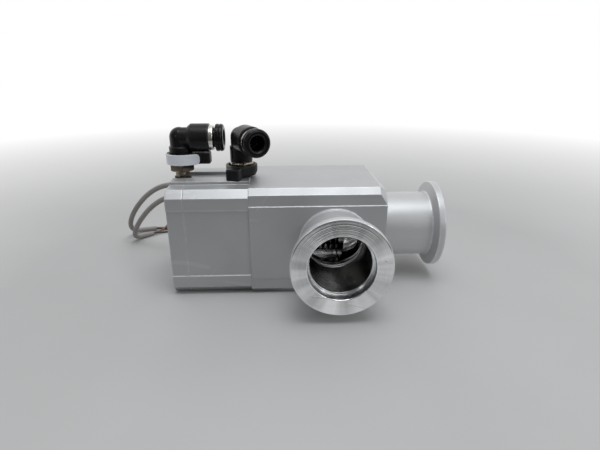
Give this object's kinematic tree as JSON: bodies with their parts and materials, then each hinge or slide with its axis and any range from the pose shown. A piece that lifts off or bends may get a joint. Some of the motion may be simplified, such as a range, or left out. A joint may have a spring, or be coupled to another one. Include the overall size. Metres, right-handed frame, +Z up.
{
  "type": "high vacuum angle valve",
  "caption": "Right-angle vacuum valve with clamp flanges, a bellows-sealed disc driven by an air piston, swivelling elbow air fittings and position switches on loose leads.",
  "frame": {"origin": "centre of the chamber flange's sealing face", "axes": "+X out of the chamber port, -Y out of the side port, +Z up along the air fittings"},
  "size_m": [0.1626, 0.1155, 0.0719],
  "materials": {
    "body_aluminium": "fine bead-blasted, faces milled",
    "flange_aluminium": "fine turned",
    "housing_aluminium": "clear anodised, satin",
    "cap_aluminium": "clear anodised, satin",
    "cover_aluminium": "turned",
    "disc_steel": "fine turned stainless steel",
    "bellows_steel": "thin stainless sheet, bright",
    "rod_steel": "ground and plated",
    "screw_steel": "zinc plated",
    "piston_aluminium": "turned",
    "nut_steel": "zinc plated",
    "bush_bronze": "sintered",
    "seal_rubber": "matt",
    "bumper_rubber": "matt",
    "magnet_black": "moulded plastic magnet",
    "wear_plastic": "smooth",
    "switch_plastic": "fine matt",
    "lead_grey": "satin",
    "core_plastic": "satin",
    "fitting_black": "moulded, half gloss",
    "stud_nickel": "nickel plated brass",
    "guide_nickel": "nickel plated",
    "collet_steel": "stamped spring steel",
    "clip_black": "moulded, matt",
    "band_white": "smooth white"
  },
  "bodies": {
    "valve": {"valve_body": "body_aluminium", "chamber_flange": "flange_aluminium", "side_flange": "flange_aluminium", "end_cap": "cap_aluminium", "cylinder_tube": "housing_aluminium", "tie_screws": "screw_steel", "rod_cover": "cover_aluminium", "rod_bush": "bush_bronze", "rod_seal": "seal_rubber", "rod_cover_seal": "seal_rubber", "cap_seal": "seal_rubber", "bonnet_seal": "seal_rubber", "piston_bumper": "bumper_rubber", "bellows_flange": "disc_steel", "bellows": "bellows_steel", "open_switch": "switch_plastic", "closed_switch": "switch_plastic", "switch_screws": "screw_steel", "open_switch_lead": "lead_grey", "closed_switch_lead": "lead_grey", "lead_cores": "core_plastic", "closing_stud": "stud_nickel", "closing_gasket": "seal_rubber", "closing_swivel_seal": "seal_rubber", "opening_stud": "stud_nickel", "opening_gasket": "seal_rubber", "opening_swivel_seal": "seal_rubber"},
    "poppet": {"bellows_hub": "disc_steel", "valve_disc": "disc_steel", "disc_seal": "seal_rubber", "rod": "rod_steel", "piston": "piston_aluminium", "wear_ring": "wear_plastic", "magnet_ring": "magnet_black", "piston_seal": "seal_rubber", "piston_nut": "nut_steel"},
    "closing_elbow": {"closing_elbow": "fitting_black", "closing_tube_seal": "seal_rubber", "closing_collet": "collet_steel", "closing_guide_ring": "guide_nickel"},
    "closing_collar": {"closing_release_collar": "fitting_black"},
    "closing_clip": {"closing_clip_ring": "clip_black", "marker_band": "band_white"},
    "opening_elbow": {"opening_elbow": "fitting_black", "opening_tube_seal": "seal_rubber", "opening_collet": "collet_steel", "opening_guide_ring": "guide_nickel"},
    "opening_collar": {"opening_release_collar": "fitting_black"},
    "opening_clip": {"opening_clip_ring": "clip_black"}
  },
  "joints": [
    {"name": "poppet_slide", "type": "slide", "parent": "valve", "child": "poppet", "axis": [1, 0, 0], "range_m": [0, 0.007], "deforming": ["bellows"]},
    {"name": "closing_elbow_swivel", "type": "hinge", "parent": "valve", "child": "closing_elbow", "pos_m": [-0.1176, 0, 0.04175], "axis": [0, 0, 1], "continuous": true},
    {"name": "opening_elbow_swivel", "type": "hinge", "parent": "valve", "child": "opening_elbow", "pos_m": [-0.09065, 0, 0.04175], "axis": [0, 0, 1], "range_deg": [-21, 149]},
    {"name": "closing_collar_push", "type": "slide", "parent": "closing_elbow", "child": "closing_collar", "axis": [-1, 0, 0], "range_m": [0, 0.0008], "stiffness_N_per_m": 1000},
    {"name": "opening_collar_push", "type": "slide", "parent": "opening_elbow", "child": "opening_collar", "axis": [-0.4431, 0.8965, 0], "range_m": [0, 0.0008], "stiffness_N_per_m": 1000},
    {"name": "closing_clip_turn", "type": "hinge", "parent": "closing_elbow", "child": "closing_clip", "pos_m": [-0.1176, 0, 0.0335], "axis": [0, 0, 1], "continuous": true},
    {"name": "opening_clip_turn", "type": "hinge", "parent": "valve", "child": "opening_clip", "pos_m": [-0.09065, 0, 0.028], "axis": [0, 0, 1], "continuous": true}
  ]
}
